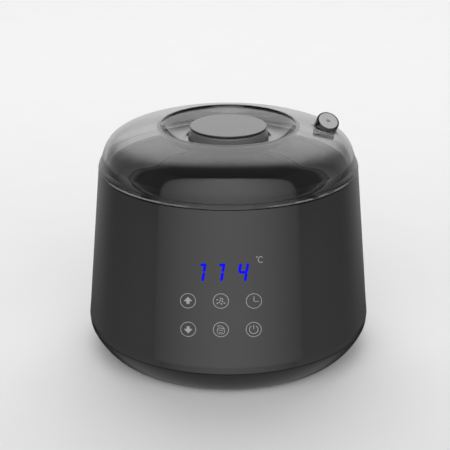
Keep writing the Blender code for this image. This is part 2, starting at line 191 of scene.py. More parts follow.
# %% A general finish
def make_finish(
    name,
    colour,
    roughness,
    metallic=0.0,
    drift=0.15,
    smudge=0.3,
    grain=0.004,
    grain_scale=900.0,
    stretch=(1.0, 1.0, 1.0),
    **constants,
):
    finish = Finish(name)
    place = finish.node("ShaderNodeTexCoord", output="Object")
    place = finish.node("ShaderNodeMapping", inputs={"Vector": place, "Scale": stretch})
    broad = finish.node("ShaderNodeTexNoise", inputs={"Vector": place, "Scale": 28.0, "Detail": 5.0})
    fine = finish.node("ShaderNodeTexNoise", inputs={"Vector": place, "Scale": grain_scale, "Detail": 3.0})
    dark = tuple(max(c * (1.0 - drift), 0.0) for c in colour)
    light = tuple(min(c * (1.0 + drift), 1.0) for c in colour)
    tone = finish.node("ShaderNodeValToRGB", {"stops": [(0.3, dark), (0.7, light)]}, {"Fac": broad})
    bump = finish.node(
        "ShaderNodeBump",
        inputs={"Height": fine, "Strength": 1.0, "Distance": grain * MM},
    )
    shine = (broad - 0.5) * smudge * roughness + roughness
    inputs = {"Base Color": tone, "Roughness": shine, "Normal": bump, "Metallic": metallic}
    inputs.update(constants)
    return finish.surface(finish.node("ShaderNodeBsdfPrincipled", inputs=inputs))


gloss_black = make_finish(
    "gloss black plastic", (0.006, 0.006, 0.0062), 0.055, drift=0.1, grain=0.001, IOR=1.5
)
satin_black = make_finish(
    "satin black plastic", (0.01, 0.01, 0.0102), 0.3, grain=0.01, **{"Specular IOR Level": 0.35}
)
foot_rubber = make_finish("foot rubber", (0.02, 0.02, 0.02), 0.75, grain=0.03, grain_scale=500.0)
pot_coating = make_finish(
    "non-stick coating", (0.028, 0.028, 0.0285), 0.38, grain=0.006, grain_scale=650.0
)
spun_metal = make_finish(
    "spun aluminium", (0.72, 0.72, 0.74), 0.28, metallic=1.0, grain=0.01, stretch=(0.15, 0.15, 6.0)
)
print("plastics", gloss_black.name, satin_black.name)

# %% [markdown]
# ## Finishes for the inner parts
# The inner parts show only when the pot is out or the case is opened. They
# still get their own colours, taken from the slots that the record names.

# %% Slot finishes
slot_finish = {
    "body_gloss": gloss_black,
    "base_satin": satin_black,
    "foot_rubber": foot_rubber,
    "pot_coating": pot_coating,
    "cup_aluminium": spun_metal,
    "heater_cast": make_finish("cast heater", (0.42, 0.42, 0.43), 0.55, metallic=1.0, grain=0.06),
    "screw_steel": make_finish("zinc plated steel", (0.56, 0.56, 0.58), 0.3, metallic=1.0),
    "spring_steel": make_finish("spring steel", (0.6, 0.57, 0.48), 0.25, metallic=1.0),
    "pin_brass": make_finish("plated brass", (0.72, 0.56, 0.28), 0.25, metallic=1.0),
    "sleeve_wool": make_finish("glass fibre", (0.72, 0.69, 0.6), 0.95, drift=0.3, grain=0.4),
    "board_green": make_finish("solder mask", (0.02, 0.15, 0.06), 0.4, drift=0.3),
    "deck_grey": make_finish("satin grey plastic", (0.5, 0.5, 0.505), 0.3, grain=0.01),
    "component_black": make_finish("moulded resin", (0.02, 0.02, 0.021), 0.5, grain=0.02),
    "transformer_tape": make_finish("polyester tape", (0.72, 0.55, 0.08), 0.4),
    "relay_blue": make_finish("relay case", (0.03, 0.12, 0.36), 0.35),
    "capacitor_sleeve": make_finish("printed sleeve", (0.05, 0.06, 0.1), 0.35),
    "connector_nylon": make_finish("connector nylon", (0.8, 0.78, 0.72), 0.5, grain=0.02),
    "lead_red": make_finish("red silicone", (0.45, 0.02, 0.02), 0.55),
    "lead_white": make_finish("white silicone", (0.78, 0.78, 0.75), 0.55),
    "ribbon_grey": make_finish("ribbon insulation", (0.34, 0.34, 0.36), 0.5, stretch=(8.0, 0.3, 0.3)),
}

# %% [markdown]
# ## Smoke-tinted clear plastic
# The lid is a clear moulding with a grey smoke tint, polished on both faces.
# The tint is in the plastic itself, so it is set as absorption: a thick place
# such as the flange turns much darker than the thin dome.

# %% Clear lid and grey knob
smoke_clear = make_finish(
    "smoke clear plastic",
    (0.93, 0.93, 0.93),
    0.008,
    drift=0.01,
    grain=0.0,
    **{"Transmission Weight": 1.0, "IOR": 1.49},
)
smoke = Finish.of(smoke_clear)
absorption = smoke.node(
    "ShaderNodeVolumeAbsorption",
    inputs={"Color": (0.5, 0.5, 0.5, 1.0), "Density": 400.0},
)
smoke.volume(absorption)
knob_grey = make_finish("knob grey plastic", (0.16, 0.16, 0.162), 0.1, drift=0.04, grain=0.002)
disc_grey = make_finish("knob disc plastic", (0.05, 0.05, 0.051), 0.22, drift=0.06, grain=0.004, IOR=1.42)
slot_finish["lid_clear"] = smoke_clear
slot_finish["knob_grey"] = knob_grey

for part in frame["record"]["subparts"]:
    carried = nodes[part["node"]]
    carried.data.materials.clear()
    carried.data.materials.append(slot_finish[part["material_slot"]])
print("slots", len(slot_finish))

# %% [markdown]
# ## Turning a profile
# A turned part is an outline spun about the Z axis. The outline is given by
# its corners, each with the radius of its rounding, as on a drawing, and
# `rounded` swaps each corner for an arc. Small edge roundings are what catch
# the light on a real moulding.


# %% Outline tools
def rounded(corners, steps=5):
    """Corners of (radius, height, rounding) as points, with an arc at each corner."""
    points = []
    count = len(corners)
    for i, (r, z, rounding) in enumerate(corners):
        here = Vector((r, z))
        before = Vector(corners[i - 1][:2])
        after = Vector(corners[(i + 1) % count][:2])
        back, ahead = (before - here), (after - here)
        if rounding <= 0.0 or back.length < 1e-6 or ahead.length < 1e-6:
            points.append((r, z))
            continue
        half = back.angle(ahead) / 2
        cut = min(rounding / math.tan(half), back.length * 0.49, ahead.length * 0.49)
        first, last = here + back.normalized() * cut, here + ahead.normalized() * cut
        for k in range(steps + 1):
            t = k / steps
            side = first.lerp(here, t).lerp(here.lerp(last, t), t)
            points.append((side.x, side.y))
    return points


def bezier(start, first, second, end, steps):
    points = []
    for i in range(steps + 1):
        t = i / steps
        weights = ((1 - t) ** 3, 3 * t * (1 - t) ** 2, 3 * t * t * (1 - t), t**3)
        spots = (start, first, second, end)
        points.append(tuple(sum(w * p[k] for w, p in zip(weights, spots)) for k in (0, 1)))
    return points


def lathe(profile, facets=192, centre=(0.0, 0.0)):
    """A closed loop of (radius, height) in millimetres, turned about Z."""
    shape = bmesh.new()
    rings = []
    for radius, height in profile:
        if radius < 1e-6:
            rings.append([shape.verts.new((0.0, 0.0, height))] * facets)
            continue
        ring = []
        for i in range(facets):
            angle = math.tau * i / facets
            ring.append(shape.verts.new((radius * math.cos(angle), radius * math.sin(angle), height)))
        rings.append(ring)
    for low, high in zip(rings, rings[1:] + rings[:1]):
        for j in range(facets):
            k = (j + 1) % facets
            corners = list(dict.fromkeys([low[j], low[k], high[k], high[j]]))
            if len(corners) > 2:
                shape.faces.new(corners)
    bmesh.ops.translate(shape, verts=shape.verts, vec=(*centre, 0.0))
    return shape


def piece(name, shape, finish, smooth=40.0):
    """A bmesh in millimetres as an object in metres, smooth below an angle."""
    bmesh.ops.recalc_face_normals(shape, faces=shape.faces)
    mesh = bpy.data.meshes.new(name)
    shape.to_mesh(mesh)
    shape.free()
    mesh.transform(Matrix.Scale(MM, 4))
    mesh.shade_smooth()
    mesh.set_sharp_from_angle(angle=math.radians(smooth))
    obj = bpy.data.objects.new(name, mesh)
    bpy.context.scene.collection.objects.link(obj)
    if finish:
        mesh.materials.append(finish)
    return obj


def apply_booleans(obj, cuts, smooth=40.0):
    """Each (operation, bmesh) worked into the object's mesh, in order."""
    helpers = []
    for operation, shape in cuts:
        helper = piece(obj.name + "_cut", shape, None)
        helper.hide_render = True
        helpers.append(helper)
        step = obj.modifiers.new(operation, "BOOLEAN")
        step.operation = operation
        step.solver = "EXACT"
        step.object = helper
    graph = bpy.context.evaluated_depsgraph_get()
    result = bpy.data.meshes.new_from_object(obj.evaluated_get(graph))
    obj.modifiers.clear()
    obj.data = result
    result.shade_smooth()
    result.set_sharp_from_angle(angle=math.radians(smooth))
    for helper in helpers:
        bpy.data.objects.remove(helper)
    return obj


def install(obj, body, slot, *replaced):
    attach(obj, body)
    if replaced:
        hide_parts(*replaced)
    print(obj.name, "rides on", body, "faces", len(obj.data.polygons))
    return obj


# %% [markdown]
# ## Body shell
# One glossy tube that widens slowly downwards and turns in just above the
# base. A flat window at the back lets in the mains inlet. The wall is 2.6 mm
# and the rim is rounded, because the lid's flange rests there.

# %% Body shell
WALL = 2.6
rim_r = 77.0
rim_inner_r = deck_r + 0.4
waist_z = 23.1
waist_r = 84.8
deck_seat = deck_low + 2.0 - 0.3
SEAM_GAP = 0.3
BASE_SPIGOT = 2.75
seam_z = base_high - BASE_SPIGOT
body_edge = seam_z + SEAM_GAP


def flank_radius(height):
    return rim_r + (waist_r - rim_r) * (body_high - height) / (body_high - waist_z)


body_outline = [
    (rim_inner_r, body_high, 0.5),
    (rim_r, body_high, 0.7),
    (flank_radius(27.0), 27.0, 24.0),
    (body_r + 0.1, 21.0, 6.0),
    (body_r - 0.25, body_edge, 0.35),
    (body_r - 0.25 - WALL, body_edge, 0.3),
    (flank_radius(24.0) - WALL, 24.0, 3.0),
    (flank_radius(95.0) - WALL, 95.0, 0.5),
    (71.6, 96.4, 0.3),
    (71.6, deck_seat, 0.3),
    (rim_inner_r, deck_seat, 0.2),
]
body_skin = piece("body_skin", lathe(rounded(body_outline)), gloss_black)

inlet_low, inlet_high = (Vector(c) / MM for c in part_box("ac_inlet"))
window = bmesh.new()
bmesh.ops.create_cube(
    window,
    size=1.0,
    matrix=Matrix.Translation((0.0, 84.0, (inlet_low.z + inlet_high.z) / 2))
    @ Matrix.Diagonal((inlet_high.x - inlet_low.x + 0.8, 20.0, inlet_high.z - inlet_low.z + 0.8, 1.0)),
)
upright = [e for e in window.edges if abs((e.verts[0].co - e.verts[1].co).normalized().y) > 0.9]
bmesh.ops.bevel(window, geom=upright, offset=1.2, segments=4, affect="EDGES")
apply_booleans(body_skin, [("DIFFERENCE", window)])
install(body_skin, "base", "body_gloss", "body_shell")

# %% [markdown]
# ## Base cover
# A shallow dish in satin plastic that closes the body from below. Its edge
# rolls under in one long curve, so that the warmer seems to hover over the
# table. Pockets hold the four feet, and slots under the board let air in.

# %% Base cover
TUCK = 1.575
TUCK_IN = 11.2
base_curve = []
for i in range(25):
    turn = math.pi / 2 * i / 24
    tucked = TUCK_IN * (1.0 - math.cos(turn) ** TUCK)
    base_curve.append((base_r - tucked, seam_z - (seam_z - base_low) * math.sin(turn) ** TUCK))
base_outline = base_curve + rounded(
    [
        (0.0, base_low, 0.0),
        (0.0, 4.0, 0.0),
        (72.6, 4.0, 3.0),
        (79.3, 12.8, 4.0),
        (79.4, base_high, 0.4),
        (81.6, base_high, 0.4),
        (81.8, seam_z, 0.2),
    ]
)
base_skin = piece("base_skin", lathe(base_outline), satin_black)
base_cuts = []
feet = sorted(n for n in nodes if n.startswith("foot_"))
base_screws = sorted(n for n in nodes if n.startswith("base_screw_"))


def middle(node):
    low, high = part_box(node)
    return Vector(((low[0] + high[0]) / 2, (low[1] + high[1]) / 2, (low[2] + high[2]) / 2)) / MM


for foot in feet:
    spot = middle(foot)
    pocket = lathe([(0.0, -1.0), (6.4, -1.0), (6.4, 2.6), (0.0, 2.6)], 64, spot[:2])
    base_cuts.append(("DIFFERENCE", pocket))
for screw in base_screws:
    spot = middle(screw)
    well = lathe([(0.0, -1.0), (3.5, -1.0), (3.5, 3.0), (1.9, 3.0), (1.9, 6.0), (0.0, 6.0)], 48, spot[:2])
    base_cuts.append(("DIFFERENCE", well))
for row in range(5):
    slot = bmesh.new()
    place = Matrix.Translation((0.0, -16.0 + 8.0 * row, 2.0)) @ Matrix.Diagonal((30.0, 3.0, 8.0, 1.0))
    bmesh.ops.create_cube(slot, size=1.0, matrix=place)
    ends = [e for e in slot.edges if abs((e.verts[0].co - e.verts[1].co).normalized().z) > 0.9]
    bmesh.ops.bevel(slot, geom=ends, offset=1.45, segments=5, affect="EDGES")
    base_cuts.append(("DIFFERENCE", slot))
apply_booleans(base_skin, base_cuts)
install(base_skin, "base", "base_satin", "base_cover")

# %% [markdown]
# ## Feet and base screws
# Each foot is a soft disc with a rolled lower edge and a shallow dimple. The
# screws are pan heads with a cross recess, seated in their wells.

# %% Feet
for foot in feet:
    spot = middle(foot)
    foot_r, foot_top = 6.0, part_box(foot)[1][2] / MM
    outline = rounded(
        [
            (0.0, 0.5, 0.0),
            (2.6, 0.5, 0.3),
            (3.1, 0.0, 0.3),
            (foot_r, 0.0, 0.7),
            (foot_r, foot_top, 0.2),
            (0.0, foot_top, 0.0),
        ]
    )
    pad = piece(foot + "_pad", lathe(outline, 64, spot[:2]), foot_rubber)
    install(pad, "base", "foot_rubber", foot)

# %% Base screws
for screw in base_screws:
    spot = middle(screw)
    low, high = (c[2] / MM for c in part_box(screw))
    outline = rounded(
        [
            (0.0, low, 0.0),
            (2.6, low, 0.6),
            (3.1, low + 1.1, 0.1),
            (1.5, low + 1.1, 0.1),
            (1.5, high - 1.0, 0.2),
            (0.5, high, 0.1),
            (0.0, high, 0.0),
        ]
    )
    head = piece(screw + "_turned", lathe(outline, 40, spot[:2]), slot_finish["screw_steel"])
    cuts = []
    for turn in (0.0, 90.0):
        bar = bmesh.new()
        place = Matrix.Translation((spot.x, spot.y, low)) @ Matrix.Rotation(math.radians(turn), 4, "Z")
        bmesh.ops.create_cube(bar, size=1.0, matrix=place @ Matrix.Diagonal((3.2, 0.8, 1.4, 1.0)))
        cuts.append(("DIFFERENCE", bar))
    apply_booleans(head, cuts)
    install(head, "base", "screw_steel", screw)

# %% [markdown]
# ## Deck ring, heater cup and pot
# The deck is the satin grey ring seen through the lid. Its inner edge is stepped
# down, and the pot's rolled rim sits in the step, and its outer edge turns up
# to just under the lid. The pot lifts out, which
# bares the spun aluminium cup that heats it.

# %% Deck ring
upstand = lid_low - 0.8
deck_outline = [
    (deck_r, upstand, 0.4),
    (deck_r - 1.3, upstand, 0.5),
    (deck_r - 2.2, deck_high, 2.5),
    (pot_r + 0.5, deck_high, 0.4),
    (pot_r + 0.5, deck_high - 2.0, 0.2),
    (58.3, deck_high - 2.0, 0.4),
    (58.3, deck_low + 0.1, 0.4),
    (60.3, deck_low + 0.1, 0.4),
    (60.3, deck_high - 3.0, 0.3),
    (deck_r, deck_high - 3.0, 0.4),
]
deck_skin = piece("deck_skin", lathe(rounded(deck_outline)), slot_finish["deck_grey"])
install(deck_skin, "base", "deck_grey", "deck_ring")

# %% Heater cup
cup_outline = [
    (0.0, cup_low + 1.5, 0.0),
    (55.2, cup_low + 1.5, 4.0),
    (58.0, cup_high, 1.0),
    (cup_r, cup_high, 0.3),
    (cup_r, cup_high - 1.4, 0.3),
    (59.5, cup_high - 1.4, 1.4),
    (56.8, cup_low, 4.5),
    (0.0, cup_low, 0.0),
]
cup_skin = piece("cup_skin", lathe(rounded(cup_outline)), spun_metal)
install(cup_skin, "base", "cup_aluminium", "heater_cup")

# %% Inner pot
pot_mouth = 56.3
pot_foot = 53.8
pot_outline = [
    (0.0, pot_low + 1.2, 0.0),
    (pot_foot, pot_low + 1.2, 3.2),
    (pot_mouth, pot_high - 1.0, 0.6),
    (pot_mouth + 0.9, pot_high, 1.2),
    (pot_r - 0.2, pot_high, 1.1),
    (pot_r, pot_low + 62.4, 0.6),
    (58.0, pot_low + 62.3, 0.6),
    (pot_mouth + 1.15, pot_low + 61.0, 0.4),
    (pot_foot + 1.2, pot_low, 4.2),
    (0.0, pot_low, 0.0),
]
pot_skin = piece("pot_skin", lathe(rounded(pot_outline, 8)), pot_coating)
install(pot_skin, "pot", "pot_coating", "inner_pot")

# %% [markdown]
# ## The clear lid
# The lid is one shell of even thickness: a flange band that rests on the
# body's rim, a short steep wall, a rounded shoulder, a top that rises gently
# to a lip, and a round recess for the fingers with a flat web under the knob.
# A clear part shows both faces at once, so the inner face is a true offset of
# the outer one.

# %% Lid outline
LID_WALL = 2.5
web_z = knob_low - 0.3
flange_low = body_high + 0.4
lip_z = 138.3
dome_foot = (75.7, 116.5)
dome_top = (42.0, 138.0)
dome = bezier(dome_foot, (71.4, 131.3), (70.5, 131.8), dome_top, 44)
lip = rounded([(*dome_top, 0.0), (40.3, lip_z + 0.05, 1.1), (38.2, 135.8, 0.0)], 8)[1:-1]
recess = bezier((38.6, 136.4), (36.4, 133.1), (32.0, web_z), (25.0, web_z), 18)
outer_face = dome + lip + recess


def inset(points, distance):
    """The outline moved inwards by an even wall thickness."""
    moved = []
    for i, point in enumerate(points):
        before = Vector(points[max(i - 1, 0)])
        after = Vector(points[min(i + 1, len(points) - 1)])
        along = (after - before).normalized()
        moved.append((point[0] - distance * along.y, point[1] + distance * along.x))
    return moved


inner_face = [p for p in inset(outer_face, LID_WALL) if p[0] < 72.4]
skirt = rounded(
    [
        (inner_face[0][0], inner_face[0][1] + 0.01, 0.0),
        (71.9, 113.5, 1.2),
        (71.9, lid_low, 0.5),
        (73.9, lid_low, 0.5),
        (73.9, flange_low, 0.2),
        (lid_r, flange_low, 0.35),
        (76.45, 115.7, 0.35),
        (75.9, 116.0, 0.15),
        (75.7, 116.7, 0.0),
    ]
)[1:-1]
lid_outline = [(0.0, web_z - LID_WALL)] + inner_face[::-1] + skirt + outer_face[1:] + [(0.0, web_z)]
lid_skin = piece("lid_skin", lathe(lid_outline, 224), smoke_clear)

# %% [markdown]
# ## Steam vent
# A short round boss leans out of the lid's right shoulder. It is hollow, and a
# pale disc with a small hole closes it, so that steam leaves without lifting
# the lid. Its foot runs into the dome with a fillet: for every point round
# the boss, the height of the dome is found first, and the fillet is added on
# top of that.

# %% Steam vent
vent_face = Vector((58.8, 0.0, 140.3))
vent_axis = Vector((0.25, -0.53, 0.81)).normalized()
vent_side = vent_axis.orthogonal().normalized()
vent_up = vent_axis.cross(vent_side)
VENT_R = 6.8
VENT_BORE_R = 5.9
VENT_DISC_R = VENT_BORE_R - 0.05
VENT_HOLE_R = 1.2
VENT_FILLET = 1.8


def dome_height(radius):
    for (r0, z0), (r1, z1) in zip(dome, dome[1:]):
        if r1 <= radius <= r0:
            return z0 + (z1 - z0) * (r0 - radius) / (r0 - r1)
    return dome_top[1] if radius < dome_top[0] else dome_foot[1] - (radius - dome_foot[0]) * 20.0


def depth_to_dome(radius, angle):
    """How far below the boss's face its surface line meets the dome."""
    start = vent_face + radius * (vent_side * math.cos(angle) + vent_up * math.sin(angle))
    near, far = 0.0, 30.0
    for _ in range(36):
        mid = (near + far) / 2
        spot = start - vent_axis * mid
        if spot.z > dome_height(math.hypot(spot.x, spot.y)):
            near = mid
        else:
            far = mid
    return near


def vent_boss(facets=96):
    shape = bmesh.new()
    rings = []
    for radius, depth in ((VENT_R - 1.0, 0.0), (VENT_R - 0.45, 0.12), (VENT_R - 0.12, 0.45), (VENT_R, 1.0)):
        rings.append([(radius, depth)] * facets)
    for k in range(11):
        reach = VENT_FILLET * k / 10
        rise = VENT_FILLET - math.sqrt(VENT_FILLET**2 - (VENT_FILLET - reach) ** 2)
        ring = []
        for j in range(facets):
            foot = depth_to_dome(VENT_R + reach, math.tau * j / facets)
            ring.append((VENT_R + reach, max(foot - rise, 1.0 + 0.02 * k) + (0.03 if k == 10 else 0.0)))
        rings.append(ring)
    rings.append([(r, d + 1.0) for r, d in rings[-1]])
    loops = []
    for ring in rings:
        loop = []
        for j, (radius, depth) in enumerate(ring):
            angle = math.tau * j / facets
            side = vent_side * math.cos(angle) + vent_up * math.sin(angle)
            loop.append(shape.verts.new(vent_face + side * radius - vent_axis * depth))
        loops.append(loop)
    for low, high in zip(loops, loops[1:]):
        for j in range(facets):
            k = (j + 1) % facets
            shape.faces.new([low[j], low[k], high[k], high[j]])
    shape.faces.new(loops[0])
    under = shape.verts.new(sum((v.co for v in loops[-1]), Vector()) / facets)
    for j in range(facets):
        shape.faces.new([loops[-1][j], loops[-1][(j + 1) % facets], under])
    return shape


def turned_on_vent(outline, facets=64):
    """A turned shape of (radius, depth) on the boss's axis, with depth from its face."""
    shape = lathe([(r, -d) for r, d in outline], facets)
    turn = vent_axis.to_track_quat("Z", "Y").to_matrix().to_4x4()
    shape.transform(Matrix.Translation(vent_face) @ turn)
    return shape


inside = lathe([(0.0, 100.0), (inner_face[0][0], 100.0)] + inner_face + [(0.0, web_z - LID_WALL)], 224)
boss = piece("vent_boss", vent_boss(), None)
apply_booleans(boss, [("DIFFERENCE", inside)])
boss_shape = bmesh.new()
boss_shape.from_mesh(boss.data)
bmesh.ops.scale(boss_shape, vec=(1 / MM, 1 / MM, 1 / MM), verts=boss_shape.verts)
bpy.data.objects.remove(boss)
core = turned_on_vent([(0.0, -2.0), (VENT_BORE_R, -2.0), (VENT_BORE_R, 22.0), (0.0, 22.0)])
screw_way = lathe([(0.0, 120.0), (2.1, 120.0), (2.1, 135.0), (0.0, 135.0)], 40)
apply_booleans(
    lid_skin,
    [("UNION", boss_shape), ("DIFFERENCE", core), ("DIFFERENCE", screw_way)],
    smooth=35.0,
)
install(lid_skin, "lid", "lid_clear", "lid_dome")

# %% Vent disc
vent_grey = make_finish("vent disc plastic", (0.42, 0.42, 0.42), 0.3, drift=0.08, grain=0.01)
disc_outline = rounded(
    [
        (VENT_HOLE_R, 0.35, 0.3),
        (VENT_HOLE_R + 0.7, 0.1, 0.3),
        (VENT_DISC_R, 0.1, 0.3),
        (VENT_DISC_R, 1.6, 0.1),
        (VENT_HOLE_R, 1.6, 0.2),
    ]
)
vent_disc = piece("vent_disc", turned_on_vent(disc_outline), vent_grey)
install(vent_disc, "lid", "lid_clear")

# %% [markdown]
# ## Knob
# The knob is a low puck in two parts. A flat disc sits on the wall with a
# thin shadow groove between them, and the wall spreads a little at its foot.

# %% Knob
knob_outline = [
    (0.0, knob_high + 1.0, 0.0),
    (21.4, knob_high + 1.0, 0.2),
    (22.7, knob_high + 0.9, 0.6),
    (23.2, knob_high - 1.6, 2.0),
    (knob_r, knob_low, 0.3),
    (21.8, knob_low, 0.2),
    (21.2, 132.4, 0.5),
    (4.6, 132.4, 0.4),
    (4.6, knob_low, 0.2),
    (2.0, knob_low, 0.1),
    (2.0, 133.4, 0.0),
    (0.0, 133.4, 0.0),
]
knob_skin = piece("knob_wall", lathe(rounded(knob_outline), 160), knob_grey)
install(knob_skin, "lid", "knob_grey", "lid_knob")

cap_outline = [
    (0.0, cap_low + 1.0, 0.0),
    (21.5, cap_low + 1.0, 0.3),
    (cap_r, cap_low + 1.5, 0.4),
    (cap_r - 0.1, cap_high, 0.8),
    (cap_r - 2.0, cap_high, 0.0),
    (0.0, cap_high, 0.0),
]
cap_skin = piece("knob_disc", lathe(rounded(cap_outline), 160), disc_grey)
install(cap_skin, "lid", "knob_grey", "knob_cap")

# %% [markdown]
# ## Printed and lit marks on the panel
# The digits and icons are flush with the body. Each mark is a thin solid
# that is drawn flat, in millimetres, and then wrapped onto the tapered front.
# A stroke is a line with a width, and a ring is a stroke that closes on
# itself. The rows dip very slightly towards their ends, so that they look
# level to someone who stands in front and looks down.


# %% Wrapping marks on the front
PROUD = 0.05
DIP = 0.39


def on_front(x, height, out):
    """A point on the front of the body: x across, height up, out from it."""
    radius = flank_radius(height)
    height -= DIP * (radius - math.sqrt(radius**2 - x**2))
    radius = flank_radius(height) + out
    return Vector((x, -math.sqrt(radius**2 - x**2), height))


def add_patch(shape, outline, centre):
    """A filled outline as a thin solid on the front."""
    layers = []
    for out in (-0.15, PROUD):
        layers.append([shape.verts.new(on_front(centre[0] + u, centre[1] + v, out)) for u, v in outline])
    back, front = layers
    shape.faces.new(front)
    shape.faces.new(back[::-1])
    for i in range(len(outline)):
        j = (i + 1) % len(outline)
        shape.faces.new([back[i], back[j], front[j], front[i]])


def add_stroke(shape, line, width, centre, closed=False):
    """A line of even width as a thin solid on the front."""
    points = [Vector(p) for p in line]
    count = len(points)
    left, right = [], []
    for i, point in enumerate(points):
        before = points[i - 1] if closed or i else point
        after = points[(i + 1) % count] if closed or i < count - 1 else point
        along = (after - before).normalized()
        across = Vector((-along.y, along.x)) * width / 2
        left.append(point + across)
        right.append(point - across)
    spans = range(count if closed else count - 1)
    grid = []
    for out in (-0.15, PROUD):
        grid.append([[shape.verts.new(on_front(centre[0] + p.x, centre[1] + p.y, out)) for p in edge]
                     for edge in (left, right)])
    (back_left, back_right), (front_left, front_right) = grid
    for i in spans:
        j = (i + 1) % count
        shape.faces.new([front_left[i], front_left[j], front_right[j], front_right[i]])
        shape.faces.new([back_right[i], back_right[j], back_left[j], back_left[i]])
        shape.faces.new([back_left[i], back_left[j], front_left[j], front_left[i]])
        shape.faces.new([front_right[i], front_right[j], back_right[j], back_right[i]])
    if not closed:
        for i in (0, count - 1):
            shape.faces.new([back_left[i], front_left[i], front_right[i], back_right[i]])


def arc(radius, start, end, steps=48, centre=(0.0, 0.0), squash=1.0):
    """Points on an arc, with angles in degrees from the right, counterclockwise."""
    points = []
    for i in range(steps + 1):
        angle = math.radians(start + (end - start) * i / steps)
        points.append((centre[0] + radius * math.cos(angle), centre[1] + squash * radius * math.sin(angle)))
    return points


# %% [markdown]
# ## Lit digits
# Three digits of an LED display show a temperature. Each digit leans to the
# right and is made of bars with rounded ends, with a hairline gap where two
# bars meet.

# %% Digits
led_blue = make_finish(
    "blue LED",
    (0.0, 0.0, 0.02),
    0.5,
    **{
        "Specular IOR Level": 0.05,
        "Emission Color": (0.002, 0.002, 1.0, 1.0),
        "Emission Strength": 0.86,
    },
)

DIGIT_TALL = 10.2
DIGIT_LEAN = math.tan(math.radians(9.0))
BAR = 1.55


def leaning(u, v):
    return (u + v * DIGIT_LEAN, v)


def bar_outline(start, end, width=BAR):
    start, end = Vector(start), Vector(end)
    along = (end - start).normalized()
    across = Vector((-along.y, along.x))
    corners = []
    for tip, sign in ((start, -1.0), (end, 1.0)):
        for k in range(7):
            angle = math.radians(-90.0 + 30.0 * k)
            ahead = along * math.cos(angle)
            aside = across * math.sin(angle)
            corners.append(tip + sign * (ahead + aside) * width / 2)
    return [leaning(p.x, p.y) for p in corners]


def digit_bars(which):
    half, side = DIGIT_TALL / 2 - BAR / 2, 2.0
    bars = {
        "upper_right": ((side, half), (side, 0.95)),
        "lower_right": ((side, -0.85), (side, -half)),
        "upper_left": ((-side, half), (-side, 0.95)),
        "middle": ((-side + 0.7, 0.0), (side - 0.7, 0.0)),
        "hook": ((side - 1.9, half - 0.15), (side - 0.5, half)),
    }
    return [bars[name] for name in which]


digit_z = 77.6
digits = {
    "digit_hundreds": (-15.5, ("hook", "upper_right", "lower_right")),
    "digit_tens": (-5.1, ("hook", "upper_right", "lower_right")),
    "digit_units": (8.0, ("upper_left", "middle", "upper_right", "lower_right")),
}
for name, (x, which) in digits.items():
    shape = bmesh.new()
    for start, end in digit_bars(which):
        add_patch(shape, bar_outline(start, end), (x, digit_z))
    mark = piece(name, shape, led_blue)
    install(mark, "base", "component_black")

# %% [markdown]
# ## Printed icons
# The icons share one ring. Inside it are an arrow up, an arrow down, a
# handful of wax beans, a clock face, a jar with its lid ajar and the usual
# sign for power. They are screen printed in pale grey, and a faint
# emission on the print is a painted glow that lifts the marks.

# %% Icons
# The pale grey is the print's own colour. The faint emission on top is a painted glow: it brightens the
# marks as if they were lit, though the print gives no light.
print_grey_with_painted_glow = make_finish(
    "screen print grey",
    (0.26, 0.26, 0.26),
    0.35,
    drift=0.05,
    **{"Emission Color": (0.5, 0.5, 0.5, 1.0), "Emission Strength": 0.1},
)
RING = 4.25
LINE = 0.33
columns = (-22.5, -4.17, 14.15)
rows = (60.9, 44.1)


def scaled(points, size=RING):
    return [(u * size, v * size) for u, v in points]


def turned_about(points, degrees, spot):
    """The points turned about the origin and then moved to a spot."""
    cos, sin = math.cos(math.radians(degrees)), math.sin(math.radians(degrees))
    return [(spot[0] + u * cos - v * sin, spot[1] + u * sin + v * cos) for u, v in points]


def arrow(shape, centre, way):
    right_half = [(0.53, 0.0), (0.46, -0.06), (0.2, -0.06), (0.2, -0.42)]
    left_half = [(-u, v) for u, v in reversed(right_half)]
    outline = [(0.0, 0.55)] + right_half + left_half
    add_patch(shape, scaled([(u * way, v * way) for u, v in outline]), centre)


def beans(shape, centre):
    spots = [
        (-0.47, 0.17),
        (-0.04, 0.38),
        (0.2, 0.28),
        (-0.1, 0.08),
        (0.2, -0.05),
        (-0.18, -0.19),
        (-0.46, -0.32),
        (0.07, -0.4),
        (0.46, -0.28),
    ]
    for number, spot in enumerate(spots):
        oval = [(0.12 * u, 0.08 * v) for u, v in arc(1.0, 0, 360, 14)[:-1]]
        add_patch(shape, scaled(turned_about(oval, 40.0 + 67.0 * number, spot)), centre)


def clock(shape, centre):
    add_stroke(shape, scaled([(0.0, 0.62), (0.0, -0.05)]), LINE * 1.2, centre)
    add_stroke(shape, scaled([(0.07, -0.07), (0.62, -0.07)]), LINE * 0.9, centre)


def jar(shape, centre):
    left_side = [(-0.46, 0.06), (-0.5, -0.1), (-0.46, -0.4), (-0.36, -0.56)]
    right_side = [(-u, v) for u, v in reversed(left_side)]
    add_stroke(shape, scaled(left_side + [(0.0, -0.62)] + right_side), LINE * 0.8, centre)
    mouth = arc(0.46, 0, 360, 30, (0.0, 0.06), 0.34)[:-1]
    add_stroke(shape, scaled(mouth), LINE * 0.7, centre, closed=True)
    lid = turned_about(arc(0.42, 0, 360, 30, (0.0, 0.0), 0.36)[:-1], -22.0, (-0.02, 0.36))
    add_stroke(shape, scaled(lid), LINE * 0.7, centre, closed=True)
    add_stroke(shape, scaled([(-0.25, -0.36), (0.0, -0.4), (0.25, -0.36)]), LINE * 0.7, centre)


def power(shape, centre):
    add_stroke(shape, scaled(arc(0.57, 122, 418, 40)), LINE * 1.15, centre)
    add_stroke(shape, scaled([(0.0, 0.66), (0.0, 0.06)]), LINE * 1.15, centre)


